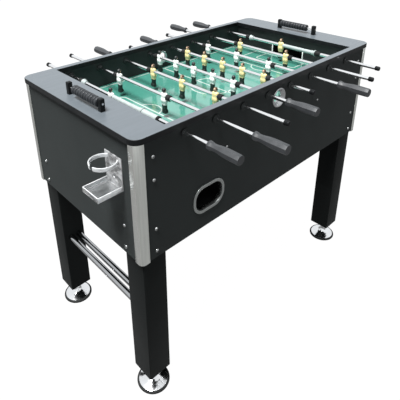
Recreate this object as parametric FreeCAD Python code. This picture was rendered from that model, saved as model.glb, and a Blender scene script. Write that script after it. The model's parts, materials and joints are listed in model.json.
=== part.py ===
import FreeCAD, Part
import math
import os

from FreeCAD import Vector

os.makedirs("parts", exist_ok=True)

# Table football cabinet: millimetres, floor at Z = 0, length along X, rods along Y.

# overall
TABLE_L = 1160.0
TABLE_W = 612.0
TABLE_H = 950.0
TOP_T = 16.0
TOP_CORNER_R = 30.0
TOP_OVERHANG = 8.0
FOOT_H = 75.0

# cabinet panels
PANEL_T = 12.0
APRON_BOTTOM = TABLE_H - 386.0
OUT_X = TABLE_L / 2 - TOP_OVERHANG
OUT_Y = TABLE_W / 2 - TOP_OVERHANG
IN_X = OUT_X - PANEL_T
IN_Y = OUT_Y - PANEL_T
TOP_UNDER = TABLE_H - TOP_T
CORNER_R = 12.0
PROFILE_T = 3.0
PROFILE_LIP = 14.0

# play area
OPEN_X = 466.5
WALL_X = 472.0
OPEN_Y = 282.0
FIELD_Z = TABLE_H - 110.0
FIELD_T = 12.0
BEARER_H = 36.0
BEARER_W = 24.0
BEARER_REACH = 470.0
CROSS_BEARER_X = 200.0
CROSS_BEARER_W = 28.0
END_WALL_T = 6.0
GOAL_HALF_W = 75.0
GOAL_H = 50.0
POST_T = 1.5
GOAL_POST_W = 5.0
GOAL_POST_H = GOAL_H + 4.0
GOAL_BOX_Z = TABLE_H - 175.0
GOAL_BOX_HALF_W = GOAL_HALF_W + 12.0
GOAL_BOX_WALL = 4.0
GOAL_BOX_FLOOR = 5.0
GOAL_OUTLET_W = 48.0

# legs
LEG = 82.0
LEG_MID_X = IN_X - LEG / 2
LEG_MID_Y = IN_Y - LEG / 2
BAR_R = 10.5
BAR_Z = TABLE_H - 623.0
BAR_SPREAD = 15.0
STUD_R = 5.0
STUD_FIT = 0.06
STUD_LEN = 55.0
FOOT_R = 54.0
STEM_R = 8.0
NUT_R = 13.0
NUT_H = 10.0

# rods
ROD_R = 6.35
ROD_FIT = 0.06
ROD_PITCH = 117.6
ROD_Z = TABLE_H - 38.0
FLANGE_T = 3.0
FLANGE_R = 13.0
BUSH_R = 9.5
WALL_STOP = IN_Y - FLANGE_T
SIDE_GAP = 0.4
MAN_HALF = 13.0
FOOT_Z = -57.5
BUMPER_R = 10.0
BUMPER_LEN = 16.0
HANDLE_LEN = 104.0
CAP_GAP = 10.0
CAP_LEN = 16.0
CAP_R = 8.0

# fasteners, as drops below the table top
BOLT_DROPS = (66.0, 135.0, 290.0, 364.0)
END_BOLT_Y = 228.0
BEARER_SCREW_X = 243.0
BEARER_SCREW_Z = TABLE_H - 147.0

# ball handling
ENTRY_Z = TABLE_H - 64.0
ENTRY_R = 27.0
ENTRY_FLANGE_R = 33.0
ENTRY_THROAT_R = 19.0
RETURN_X = 318.0
RETURN_Z = TABLE_H - 283.0
RETURN_W = 113.0
RETURN_H = 79.0
RETURN_R = 34.0
BEZEL = 8.0
POCKET_HALF_W = 62.0
POCKET_HALF_H = 46.0
POCKET_DEPTH = 70.0
POCKET_WALL = 3.0
POCKET_FLOOR = 6.0
POCKET_RISE = 16.0
TROUGH_HALF_W = 23.0
TROUGH_WALL = 3.0
TROUGH_RIM = 22.0

# score counters
SCORE_POST_Y = 85.0
POST_L = 14.0
POST_W = 14.0
POST_H = 38.0
SCORE_ROD_R = 3.0
SCORE_ROD_Z = TABLE_H + 23.0
BEADS = 10
BEAD_PITCH = 13.1
BEAD_R = 14.0

# counter: X, middle Y, gap between the top post and the beads
SCORERS = {
    "left": (-537.0, -22.0, 24.8),
    "right": (520.0, -4.0, 0.5),
}

# cup holders
CUP_Y = 201.0
CUP_PLATE_W = 74.0
CUP_Z0 = TABLE_H - 174.0
CUP_Z1 = TABLE_H - 77.0
CUP_REACH = 79.0
CUP_RING_X = OUT_X + 32.0
CUP_RING_Z = TABLE_H - 95.0
CUP_RING_H = 11.0
CUP_RING_R = 35.0
CUP_RING_T = 3.0
CUP_SLIT = 12.0
CUP_SLIT_ANGLE = -87.0
CUP_TRAY_H = 15.0
CUP_WALL = 3.0
CUP_SCREW_DROPS = (107.0, 147.0)

# rod number: men, half span of the men, rest offset along Y, side of the handle, handle gap
RODS = {
    1: (1, 0.0, 40.0, -1, 29.0),
    2: (2, 120.5, 41.5, -1, 42.0),
    3: (3, 153.0, -33.0, 1, 24.0),
    4: (5, 191.0, 34.0, -1, 40.0),
    5: (5, 191.0, 0.0, 1, 24.0),
    6: (3, 156.0, 34.0, -1, 40.0),
    7: (2, 115.0, 0.0, 1, 12.0),
    8: (1, 0.0, -8.0, 1, 24.0),
}
TEAM_A = (1, 2, 4, 6)
KEEPER_BELL_START = 146.0
KEEPER_BELL_END = 164.0
KEEPER_BUMPER_END = 186.0
KEEPER_SLEEVE_R = 7.4
OUTER_SLEEVE_R = 9.5
OUTER_SLEEVE_END = 228.0
OUTER_BUMPER_END = 236.0


def box(x0, x1, y0, y1, z0, z1):
    return Part.makeBox(x1 - x0, y1 - y0, z1 - z0, Vector(x0, y0, z0))


def cyl_y(r, y0, y1, x=0.0, z=0.0):
    return Part.makeCylinder(r, y1 - y0, Vector(x, y0, z), Vector(0, 1, 0))


def cyl_z(r, z0, z1, x=0.0, y=0.0):
    return Part.makeCylinder(r, z1 - z0, Vector(x, y, z0), Vector(0, 0, 1))


def polygon_face(points):
    wire = Part.makePolygon([Vector(*p) for p in points + points[:1]])
    return Part.Face(wire)


def revolve_y(profile):
    # profile is a list of (radius, y), closed on the Y axis by the first and last point
    face = polygon_face([(r, y, 0.0) for r, y in profile])
    return face.revolve(Vector(0, 0, 0), Vector(0, 1, 0), 360)


def revolve_z(profile):
    face = polygon_face([(r, 0.0, z) for r, z in profile])
    return face.revolve(Vector(0, 0, 0), Vector(0, 0, 1), 360)


def half_turn(shape):
    turned = shape.copy()
    turned.rotate(Vector(0, 0, 0), Vector(0, 0, 1), 180)
    return turned


def mirrored(shape, axis):
    return shape.mirror(Vector(0, 0, 0), axis)


def four_corners(shape):
    # copies of a part at (-X, -Y) in all four corners
    out = [shape]
    out.append(mirrored(shape, Vector(1, 0, 0)))
    out.append(mirrored(shape, Vector(0, 1, 0)))
    out.append(half_turn(shape))
    return out


def save(name, solids):
    flat = []
    for item in solids:
        flat.extend(item.Solids)
    shape = flat[0] if len(flat) == 1 else Part.makeCompound(flat)
    shape.exportStep("parts/" + name + ".step")


def rounded_slot_y(width, height, radius, y0, y1, x, z):
    # a rounded rectangle in the XZ plane, extruded along Y
    w = width / 2
    h = height / 2
    core = box(x - w + radius, x + w - radius, y0, y1, z - h, z + h)
    side = box(x - w, x + w, y0, y1, z - h + radius, z + h - radius)
    shape = core.fuse(side)
    for sx in (-1, 1):
        for sz in (-1, 1):
            round_end = cyl_y(radius, y0, y1, x + sx * (w - radius), z + sz * (h - radius))
            shape = shape.fuse(round_end)
    return shape.removeSplitter()


def rod_x(number):
    return (number - 4.5) * ROD_PITCH


# cabinet

def long_apron(side):
    y0 = side * OUT_Y
    y1 = side * IN_Y
    end = OUT_X - CORNER_R
    panel = box(-end, end, min(y0, y1), max(y0, y1), APRON_BOTTOM, TOP_UNDER)
    for number in RODS:
        hole = cyl_y(BUSH_R, min(y0, y1) - 1, max(y0, y1) + 1, rod_x(number), ROD_Z)
        panel = panel.cut(hole)
    entry = cyl_y(ENTRY_R, min(y0, y1) - 1, max(y0, y1) + 1, 0, ENTRY_Z)
    panel = panel.cut(entry)
    x = side * RETURN_X
    slot = rounded_slot_y(RETURN_W, RETURN_H, RETURN_R, min(y0, y1) - 1, max(y0, y1) + 1, x, RETURN_Z)
    return panel.cut(slot)


def end_apron(side):
    x0 = side * OUT_X
    x1 = side * IN_X
    end = OUT_Y - CORNER_R
    return box(min(x0, x1), max(x0, x1), -end, end, APRON_BOTTOM, TOP_UNDER)


def corner_profile():
    # quarter-round extrusion round the (-X, -Y) corner with a lip on each panel face
    cx = -OUT_X + CORNER_R
    cy = -OUT_Y + CORNER_R
    outer = cyl_z(CORNER_R + PROFILE_T, APRON_BOTTOM - 2, TOP_UNDER, cx, cy)
    inner = cyl_z(CORNER_R, APRON_BOTTOM - 3, TOP_UNDER + 1, cx, cy)
    ring = outer.cut(inner)
    quarter = box(cx - 40, cx, cy - 40, cy, APRON_BOTTOM - 3, TOP_UNDER + 1)
    arc = ring.common(quarter)
    lip_front = box(cx, cx + PROFILE_LIP, -OUT_Y - PROFILE_T, -OUT_Y, APRON_BOTTOM - 2, TOP_UNDER)
    lip_end = box(-OUT_X - PROFILE_T, -OUT_X, cy, cy + PROFILE_LIP, APRON_BOTTOM - 2, TOP_UNDER)
    return arc.fuse(lip_front).fuse(lip_end).removeSplitter()


def end_deck(side):
    # end part of the top frame with two rounded outer corners
    x_out = TABLE_L / 2
    w = TABLE_W / 2
    r = TOP_CORNER_R
    deck = box(OPEN_X, x_out - r, -w, w, TOP_UNDER, TABLE_H)
    deck = deck.fuse(box(x_out - r, x_out, -w + r, w - r, TOP_UNDER, TABLE_H))
    for sy in (-1, 1):
        deck = deck.fuse(cyl_z(r, TOP_UNDER, TABLE_H, x_out - r, sy * (w - r)))
    deck = deck.removeSplitter()
    edges = [e for e in deck.Edges if min(v.Z for v in e.Vertexes) > TABLE_H - 0.01]
    outer = [e for e in edges if e.BoundBox.XMax > OPEN_X + 1]
    deck = deck.makeChamfer(1.2, outer)
    return deck if side > 0 else half_turn(deck)


def side_rail(side):
    w = TABLE_W / 2
    rail = box(-OPEN_X, OPEN_X, OPEN_Y, w, TOP_UNDER, TABLE_H)
    edges = [e for e in rail.Edges if e.BoundBox.ZMin > TABLE_H - 0.01 and e.BoundBox.XLength > 100]
    rail = rail.makeChamfer(1.2, edges)
    return rail if side > 0 else half_turn(rail)


def playfield():
    x = WALL_X + END_WALL_T
    return box(-x, x, -IN_Y, IN_Y, FIELD_Z - FIELD_T, FIELD_Z)


def bearers():
    z1 = FIELD_Z - FIELD_T
    z0 = z1 - BEARER_H
    inner = IN_Y - BEARER_W
    out = [box(-BEARER_REACH, BEARER_REACH, inner, IN_Y, z0, z1)]
    out.append(box(-BEARER_REACH, BEARER_REACH, -IN_Y, -inner, z0, z1))
    half = CROSS_BEARER_W / 2
    for x in (-CROSS_BEARER_X, CROSS_BEARER_X):
        out.append(box(x - half, x + half, -inner, inner, z0, z1))
    return out


def inner_end_wall():
    x1 = -WALL_X
    x0 = x1 - END_WALL_T
    wall = box(x0, x1, -IN_Y, IN_Y, FIELD_Z, TOP_UNDER)
    mouth = box(x0 - 1, x1 + 1, -GOAL_HALF_W, GOAL_HALF_W, FIELD_Z - 1, FIELD_Z + GOAL_H)
    return wall.cut(mouth)


def goal_posts():
    # a white strip on each side of the goal mouth, at the -X end
    out = []
    for sy in (-1, 1):
        y0 = sy * GOAL_HALF_W
        y1 = sy * (GOAL_HALF_W + GOAL_POST_W)
        out.append(box(-WALL_X, -WALL_X + POST_T, min(y0, y1), max(y0, y1), FIELD_Z, FIELD_Z + GOAL_POST_H))
    return out


def goal_box():
    # tray behind the -X goal with a gap in its inner wall where the ball leaves
    x0 = -IN_X
    x1 = -WALL_X - END_WALL_T
    w = GOAL_BOX_HALF_W
    t = GOAL_BOX_WALL
    z0 = GOAL_BOX_Z
    z1 = FIELD_Z - FIELD_T
    floor = z0 + GOAL_BOX_FLOOR
    tray = box(x0, x1, -w, w, z0, z1)
    tray = tray.cut(box(x0 + t, x1 - t, -w + t, w - t, floor, z1 + 1))
    gap = box(x1 - t - 1, x1 + 1, -w + t, -w + t + GOAL_OUTLET_W, floor, z1 + 1)
    tray = tray.cut(gap)
    walls = []
    for sy in (-1, 1):
        y0 = sy * w
        y1 = sy * (w - t)
        walls.append(box(x0, x1, min(y0, y1), max(y0, y1), z1, TOP_UNDER))
    return tray.fuse(walls[0]).fuse(walls[1]).removeSplitter()


def return_scoop():
    # pocket behind the front return opening, and the trough that feeds it from the goal
    x0 = -RETURN_X - POCKET_HALF_W
    x1 = -RETURN_X + POCKET_HALF_W
    y0 = -IN_Y
    y1 = y0 + POCKET_DEPTH
    z0 = RETURN_Z - POCKET_HALF_H
    z1 = RETURN_Z + POCKET_HALF_H
    t = POCKET_WALL
    floor = z0 + POCKET_FLOOR
    pocket = box(x0, x1, y0, y1, z0, z1)
    pocket = pocket.cut(box(x0 + t, x1 - t, y0 - 1, y1 - t, floor, z1 + 1))
    ramp = polygon_face([(x0 + t, y1 - t, floor), (x0 + t, y0, floor), (x0 + t, y1 - t, floor + POCKET_RISE)])
    pocket = pocket.fuse(ramp.extrude(Vector(x1 - x0 - 2 * t, 0, 0)))
    start = Vector(-WALL_X - END_WALL_T, -60.0, GOAL_BOX_Z)
    stop = Vector(-RETURN_X - 10, y1 - t / 2, z1 + 2)
    run = stop - start
    flat = math.hypot(run.x, run.y)
    across = Vector(-run.y / flat * TROUGH_HALF_W, run.x / flat * TROUGH_HALF_W, 0)
    up = Vector(0, 0, 1)
    outline = [start + across, start - across, stop - across, stop + across]
    plate = Part.Face(Part.makePolygon(outline + outline[:1])).extrude(up * -TROUGH_WALL)
    rims = []
    for sign in (-1, 1):
        edge = across * sign
        inner = edge * (1 - TROUGH_WALL / TROUGH_HALF_W)
        quad = [start + edge, start + inner, stop + inner, stop + edge]
        rims.append(Part.Face(Part.makePolygon(quad + quad[:1])).extrude(up * TROUGH_RIM))
    trough = plate.fuse(rims[0]).fuse(rims[1])
    keep_out = box(-OUT_X, -WALL_X - END_WALL_T, -OUT_Y, OUT_Y, APRON_BOTTOM, TOP_UNDER)
    trough = trough.cut(keep_out)
    trough = trough.cut(box(x0, x1, y0, y1, z0 - 20, z1))
    return pocket.fuse(trough).removeSplitter()


def return_bezel():
    x = -RETURN_X
    y0 = -OUT_Y - 3.5
    outer = rounded_slot_y(RETURN_W + 2 * BEZEL, RETURN_H + 2 * BEZEL, RETURN_R + BEZEL,
                           y0, -OUT_Y, x, RETURN_Z)
    lining = rounded_slot_y(RETURN_W, RETURN_H, RETURN_R, -OUT_Y, -IN_Y, x, RETURN_Z)
    ring = outer.fuse(lining)
    hole = rounded_slot_y(RETURN_W - 3, RETURN_H - 3, RETURN_R - 1.5, y0 - 1, -IN_Y + 1, x, RETURN_Z)
    return ring.cut(hole).removeSplitter()


def entry_cup():
    # flanged funnel in the front panel; radius against depth from the outside face
    y = -OUT_Y
    profile = [
        (ENTRY_FLANGE_R, y - 2.5),
        (ENTRY_FLANGE_R - 1.5, y - 4.0),
        (ENTRY_R + 1.0, y - 4.0),
        (ENTRY_R - 3.0, y - 1.0),
        (ENTRY_THROAT_R, -IN_Y + 4.0),
        (ENTRY_R, -IN_Y + 4.0),
        (ENTRY_R, y),
        (ENTRY_FLANGE_R, y),
    ]
    cup = revolve_y(profile)
    cup.translate(Vector(0, 0, ENTRY_Z))
    return cup


def bearing(number, side):
    x = rod_x(number)
    y_in = side * WALL_STOP
    y_out = side * (OUT_Y + FLANGE_T)
    face_in = side * IN_Y
    face_out = side * OUT_Y
    body = cyl_y(BUSH_R, min(y_in, y_out), max(y_in, y_out), x, ROD_Z)
    body = body.fuse(cyl_y(FLANGE_R, min(y_in, face_in), max(y_in, face_in), x, ROD_Z))
    body = body.fuse(cyl_y(FLANGE_R, min(y_out, face_out), max(y_out, face_out), x, ROD_Z))
    bore = cyl_y(ROD_R + ROD_FIT, min(y_in, y_out) - 1, max(y_in, y_out) + 1, x, ROD_Z)
    return body.cut(bore).removeSplitter()


# legs and feet

def leg():
    x0 = -IN_X
    y0 = -IN_Y
    post = box(x0, x0 + LEG, y0, y0 + LEG, FOOT_H, TOP_UNDER)
    outer = [e for e in post.Edges if e.BoundBox.ZLength > 100]
    post = post.makeChamfer(2.0, outer)
    bore = cyl_z(STUD_R + STUD_FIT, FOOT_H - 1, FOOT_H + STUD_LEN + 25, -LEG_MID_X, -LEG_MID_Y)
    return post.cut(bore)


def crossbars():
    # two round bars between the legs of the -X end
    reach = LEG_MID_Y - LEG / 2
    return [cyl_y(BAR_R, -reach, reach, side * BAR_SPREAD - LEG_MID_X, BAR_Z) for side in (-1, 1)]


def leveller():
    stud_top = FOOT_H + STUD_LEN
    under = FOOT_H - SIDE_GAP
    profile = [
        (0.0, 0.0),
        (FOOT_R, 0.0),
        (FOOT_R, 7.0),
        (FOOT_R - 2.0, 9.0),
        (FOOT_R - 20.0, 14.5),
        (20.0, 20.0),
        (12.0, 27.0),
        (STEM_R, 34.0),
        (STEM_R, under - NUT_H),
        (NUT_R, under - NUT_H),
        (NUT_R, under),
        (STUD_R, under),
        (STUD_R, stud_top - 1),
        (STUD_R - 1, stud_top),
        (0.0, stud_top),
    ]
    return revolve_z(profile)


def dome_bolt(x, y, z, axis):
    # low dome head on the panel face
    profile = [(0.0, 0.0), (5.6, 0.0), (5.6, 1.0), (4.6, 2.6), (2.4, 3.7), (0.0, 4.0)]
    head = revolve_z(profile)
    head.Placement = FreeCAD.Placement(Vector(x, y, z), FreeCAD.Rotation(Vector(0, 0, 1), axis))
    return head


def small_screw(x, y, z, axis):
    profile = [(0.0, 0.0), (4.0, 0.0), (4.0, 0.8), (2.5, 2.0), (0.0, 2.4)]
    head = revolve_z(profile)
    head.Placement = FreeCAD.Placement(Vector(x, y, z), FreeCAD.Rotation(Vector(0, 0, 1), axis))
    return head


def fasteners():
    out = []
    for sx in (-1, 1):
        for sy in (-1, 1):
            for drop in BOLT_DROPS:
                out.append(dome_bolt(sx * LEG_MID_X, sy * OUT_Y, TABLE_H - drop, Vector(0, sy, 0)))
            for drop in BOLT_DROPS[2:]:
                out.append(dome_bolt(sx * OUT_X, sy * END_BOLT_Y, TABLE_H - drop, Vector(sx, 0, 0)))
            out.append(small_screw(sx * BEARER_SCREW_X, sy * OUT_Y, BEARER_SCREW_Z, Vector(0, sy, 0)))
    for drop in CUP_SCREW_DROPS:
        screw = small_screw(-OUT_X - CUP_WALL, -CUP_Y, TABLE_H - drop, Vector(-1, 0, 0))
        out.append(screw)
        out.append(half_turn(screw))
    return out


# accessories

def cup_holder():
    # back plate, split ring and lipped tray on the -X end
    w = CUP_PLATE_W / 2
    x = -OUT_X
    y = -CUP_Y
    t = CUP_WALL
    plate = box(x - t, x, y - w, y + w, CUP_Z0, CUP_Z1)
    tray = box(x - CUP_REACH, x, y - w, y + w, CUP_Z0, CUP_Z0 + CUP_TRAY_H)
    well = box(x - CUP_REACH + t, x - t, y - w + t, y + w - t, CUP_Z0 + t, CUP_Z0 + CUP_TRAY_H + 1)
    tray = tray.cut(well)
    z0 = CUP_RING_Z
    z1 = CUP_RING_Z + CUP_RING_H
    ring = cyl_z(CUP_RING_R + CUP_RING_T, z0, z1, -CUP_RING_X, y)
    ring = ring.cut(cyl_z(CUP_RING_R, z0 - 1, z1 + 1, -CUP_RING_X, y))
    ring = ring.common(box(x - 2 * CUP_REACH, x, y - CUP_REACH, y + CUP_REACH, z0, z1))
    slit = box(-CUP_SLIT / 2, CUP_SLIT / 2, -60, 0, z0 - 1, z1 + 1)
    slit.rotate(Vector(0, 0, 0), Vector(0, 0, 1), CUP_SLIT_ANGLE)
    slit.translate(Vector(-CUP_RING_X, y, 0))
    ring = ring.cut(slit)
    return plate.fuse(tray).fuse(ring).removeSplitter()


def score_posts(x, y_mid):
    # the two posts of a counter, bored for the counter rod
    out = []
    for sy in (-1, 1):
        y = y_mid + sy * SCORE_POST_Y
        post = box(x - POST_W / 2, x + POST_W / 2, y - POST_L / 2, y + POST_L / 2, TABLE_H, TABLE_H + POST_H)
        top = [e for e in post.Edges if e.BoundBox.ZMin > TABLE_H + POST_H - 0.01]
        post = post.makeChamfer(1.5, top)
        out.append(post.cut(cyl_y(SCORE_ROD_R, y - 20, y + 20, x, SCORE_ROD_Z)))
    return out


def score_rod(x, y_mid):
    reach = SCORE_POST_Y + POST_L / 2 + 1.5
    return cyl_y(SCORE_ROD_R, y_mid - reach, y_mid + reach, x, SCORE_ROD_Z)


def beads(x, y_top):
    # ten waisted counter beads packed from y_top towards -Y
    out = []
    b = BEAD_PITCH - 0.3
    for i in range(BEADS):
        y1 = y_top - i * BEAD_PITCH
        y0 = y1 - b
        profile = [
            (SCORE_ROD_R + ROD_FIT, y0),
            (BEAD_R - 1.8, y0),
            (BEAD_R, y0 + 2.2),
            (BEAD_R, y1 - 2.2),
            (BEAD_R - 1.8, y1),
            (SCORE_ROD_R + ROD_FIT, y1),
        ]
        bead = revolve_y(profile)
        bead.translate(Vector(x, 0, SCORE_ROD_Z))
        out.append(bead)
    return out


# rods

def is_keeper(number):
    return RODS[number][0] == 1


def stop_reach(number):
    # distance from the rod's middle to the outer face of its bumpers
    men, span, offset, hand, gap = RODS[number]
    if men == 1:
        return KEEPER_BUMPER_END
    return span + MAN_HALF + SIDE_GAP + BUMPER_LEN


def travel(number):
    return WALL_STOP - 0.3 - stop_reach(number)


def men_positions(number):
    men, span, offset, hand, gap = RODS[number]
    if men == 1:
        return [0.0]
    step = 2 * span / (men - 1)
    return [-span + i * step for i in range(men)]


def cap_start(number):
    return OUT_Y + FLANGE_T + travel(number) + CAP_GAP


def handle_start(number):
    return OUT_Y + FLANGE_T + travel(number) + RODS[number][4]


def placed(shape, number):
    # from rod coordinates (middle of the rod at the origin, handle on -Y) to the table
    men, span, offset, hand, gap = RODS[number]
    out = shape
    if hand > 0:
        out = mirrored(out, Vector(0, 1, 0))
    out = out.copy()
    out.translate(Vector(rod_x(number), offset, ROD_Z))
    return out


def rod_bar(number):
    y0 = -handle_start(number) - 70
    y1 = cap_start(number) + CAP_LEN - 4
    return placed(cyl_y(ROD_R, y0, y1), number)


def handle(number):
    y = -handle_start(number)
    n = HANDLE_LEN
    profile = [
        (0.0, y),
        (9.0, y),
        (9.8, y - 1.0),
        (9.8, y - 8.0),
        (8.6, y - 10.0),
        (8.8, y - 22.0),
        (11.0, y - 34.0),
        (14.6, y - 46.0),
        (16.0, y - 56.0),
        (16.0, y - n + 10),
        (15.0, y - n + 3),
        (13.0, y - n),
        (0.0, y - n),
    ]
    body = revolve_y(profile)
    flats = [(15.9 * math.cos(math.radians(22.5 + 45 * i)), y - n - 1,
              15.9 * math.sin(math.radians(22.5 + 45 * i))) for i in range(8)]
    prism = polygon_face(flats).extrude(Vector(0, n + 2, 0))
    body = body.common(prism)
    return body.cut(cyl_y(ROD_R, y - 70, y + 1))


def end_cap(number):
    y = cap_start(number)
    profile = [
        (0.0, y),
        (CAP_R - 0.6, y),
        (CAP_R, y + 1.0),
        (CAP_R, y + CAP_LEN - 2.0),
        (CAP_R - 2.0, y + CAP_LEN),
        (0.0, y + CAP_LEN),
    ]
    return revolve_y(profile).cut(cyl_y(ROD_R, y - 1, y + CAP_LEN - 4))


def man(facing):
    # generic figure: side outline and front outline crossed, bored for the rod
    side = [
        (-6, 28), (5, 28), (7.5, 24), (7.5, 18), (4, 14), (7.5, 10), (8.5, 2), (8, -14),
        (6.5, -28), (6, -41), (9.5, -48), (9.5, FOOT_Z + 3), (7, FOOT_Z), (-6.5, FOOT_Z), (-7, -48), (-5.5, -38),
        (-6.5, -28), (-7.5, -14), (-8.5, 2), (-7.5, 10), (-4.5, 14), (-7.5, 18), (-7.5, 25),
    ]
    front = [
        (-5, 28), (5, 28), (7.5, 24), (7.5, 18), (4.5, 14), (11, 11.5), (MAN_HALF, 7), (MAN_HALF, -12),
        (10.5, -17), (9.5, -41), (9.5, FOOT_Z), (-9.5, FOOT_Z), (-9.5, -41), (-10.5, -17),
        (-MAN_HALF, -12), (-MAN_HALF, 7), (-11, 11.5), (-4.5, 14), (-7.5, 18), (-7.5, 24),
    ]
    slab_side = polygon_face([(facing * x, -20.0, z) for x, z in side]).extrude(Vector(0, 40, 0))
    slab_front = polygon_face([(-20.0, y, z) for y, z in front]).extrude(Vector(40, 0, 0))
    figure = slab_side.common(slab_front)
    return figure.cut(cyl_y(ROD_R, -20, 20))


def bell(start, end, sign):
    # white flared stop on a keeper rod, wide end towards the wall
    a = start
    b = end
    profile = [
        (ROD_R, a),
        (8.5, a),
        (8.8, a + (b - a) * 0.45),
        (12.0, a + (b - a) * 0.8),
        (12.0, b),
        (ROD_R, b),
    ]
    if sign < 0:
        profile = [(r, -y) for r, y in profile]
    return revolve_y(profile)


def sleeve(radius, y0, y1):
    return cyl_y(radius, y0, y1).cut(cyl_y(ROD_R, y0 - 1, y1 + 1))


def players(number):
    facing = 1 if number in TEAM_A else -1
    out = []
    for y in men_positions(number):
        figure = man(facing)
        figure.translate(Vector(0, y, 0))
        out.append(figure)
    if is_keeper(number):
        low = -1 if RODS[number][3] < 0 else 1
        out.append(bell(KEEPER_BELL_START, KEEPER_BELL_END, -low))
        out.append(bell(KEEPER_BELL_START, KEEPER_BELL_END, low))
        y_a = low * (MAN_HALF + SIDE_GAP)
        y_b = low * (KEEPER_BELL_START - SIDE_GAP)
        out.append(sleeve(KEEPER_SLEEVE_R, min(y_a, y_b), max(y_a, y_b)))
        if number == 1:
            out.append(sleeve(OUTER_SLEEVE_R, -OUTER_SLEEVE_END, -KEEPER_BELL_END - SIDE_GAP))
    return out


def bumper(y0, y1):
    r = BUMPER_R
    profile = [
        (ROD_R + ROD_FIT, y0),
        (r - 1, y0),
        (r, y0 + 1),
        (r, y1 - 1),
        (r - 1, y1),
        (ROD_R + ROD_FIT, y1),
    ]
    return revolve_y(profile)


def bumpers(number):
    reach = stop_reach(number)
    if not is_keeper(number):
        a = reach - BUMPER_LEN
        return [bumper(a, reach), bumper(-reach, -a)]
    a = KEEPER_BELL_END + SIDE_GAP
    far = bumper(a, reach)
    if number == 1:
        near = bumper(-OUTER_BUMPER_END, -OUTER_SLEEVE_END - SIDE_GAP)
    else:
        near = bumper(-reach, -a)
    return [far, near]


def build_cabinet():
    save("front_apron", [long_apron(-1)])
    save("rear_apron", [long_apron(1)])
    save("left_end_apron", [end_apron(-1)])
    save("right_end_apron", [end_apron(1)])
    save("top_side_rails", [side_rail(-1), side_rail(1)])
    save("top_end_decks", [end_deck(-1), end_deck(1)])
    save("playfield", [playfield()])
    save("playfield_bearers", bearers())
    wall = inner_end_wall()
    save("inner_end_walls", [wall, half_turn(wall)])
    posts = goal_posts()
    save("goal_posts", posts + [half_turn(p) for p in posts])
    tray = goal_box()
    save("goal_boxes", [tray, half_turn(tray)])
    scoop = return_scoop()
    save("ball_return_scoops", [scoop, half_turn(scoop)])
    bezel = return_bezel()
    save("ball_return_bezels", [bezel, half_turn(bezel)])
    cup = entry_cup()
    save("ball_entry_cups", [cup, half_turn(cup)])
    save("rod_bearings", [bearing(n, s) for n in RODS for s in (-1, 1)])
    save("corner_profiles", four_corners(corner_profile()))
    save("legs", four_corners(leg()))
    save("leg_crossbars", crossbars())
    save("fasteners", fasteners())


def build_accessories():
    holder = cup_holder()
    save("cup_holders", [holder, half_turn(holder)])
    posts = []
    rods = []
    for side, (x, y_mid, gap) in SCORERS.items():
        posts += score_posts(x, y_mid)
        rods.append(score_rod(x, y_mid))
        y_top = y_mid + SCORE_POST_Y - POST_L / 2 - gap
        save("scorer_beads_" + side, beads(x, y_top))
    save("scorer_posts", posts)
    save("scorer_rods", rods)


def build_feet():
    names = {(-1, -1): "leveller_front_left", (1, -1): "leveller_front_right",
             (-1, 1): "leveller_rear_left", (1, 1): "leveller_rear_right"}
    for (sx, sy), name in names.items():
        foot = leveller()
        foot.translate(Vector(sx * LEG_MID_X, sy * LEG_MID_Y, 0))
        save(name, [foot])


def build_rods():
    for number in RODS:
        name = "rod_" + str(number)
        save(name, [rod_bar(number)])
        save(name + "_players", [placed(s, number) for s in players(number)])
        grips = [placed(handle(number), number), placed(end_cap(number), number)]
        save(name + "_grips", grips)
        save(name + "_bumpers", [placed(s, number) for s in bumpers(number)])


build_cabinet()
build_accessories()
build_feet()
build_rods()
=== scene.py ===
import json
import math

import bpy
from mathutils import Matrix, Vector

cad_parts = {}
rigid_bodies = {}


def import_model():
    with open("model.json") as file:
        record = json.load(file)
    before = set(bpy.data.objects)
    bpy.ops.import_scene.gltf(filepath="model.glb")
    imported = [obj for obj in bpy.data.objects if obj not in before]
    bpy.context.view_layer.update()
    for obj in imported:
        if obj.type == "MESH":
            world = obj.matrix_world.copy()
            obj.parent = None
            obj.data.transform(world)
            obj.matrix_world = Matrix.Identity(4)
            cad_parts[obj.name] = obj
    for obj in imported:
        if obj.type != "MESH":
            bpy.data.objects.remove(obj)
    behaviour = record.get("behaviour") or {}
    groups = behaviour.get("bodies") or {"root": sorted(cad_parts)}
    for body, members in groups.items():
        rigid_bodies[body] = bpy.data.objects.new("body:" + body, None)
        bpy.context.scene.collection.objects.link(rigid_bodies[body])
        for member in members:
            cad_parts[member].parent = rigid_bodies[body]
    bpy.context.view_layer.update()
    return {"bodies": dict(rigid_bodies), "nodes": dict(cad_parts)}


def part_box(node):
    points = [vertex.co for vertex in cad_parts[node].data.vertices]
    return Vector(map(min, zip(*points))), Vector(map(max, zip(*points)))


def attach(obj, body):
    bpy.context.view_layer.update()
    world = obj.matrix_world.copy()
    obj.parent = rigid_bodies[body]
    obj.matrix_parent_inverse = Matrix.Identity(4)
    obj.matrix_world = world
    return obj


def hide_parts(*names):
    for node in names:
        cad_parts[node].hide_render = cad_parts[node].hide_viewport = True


# Table football table: materials, detailed pieces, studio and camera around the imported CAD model.
# Lengths are metres in the CAD frame, except where a comment says millimetres.

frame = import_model()

MM = 0.001
RODS = range(1, 9)
ROD_RADIUS = 6.35 * MM
END_WALL_THICKNESS = 6 * MM
FIELD_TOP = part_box("playfield")[1].z
FIELD_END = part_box("inner_end_walls")[1].x - END_WALL_THICKNESS
FIELD_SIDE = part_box("playfield")[1].y

# figures are taller than this and handles longer, unlike the other solids of their nodes
LARGE_FITTING = 60 * MM

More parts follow.
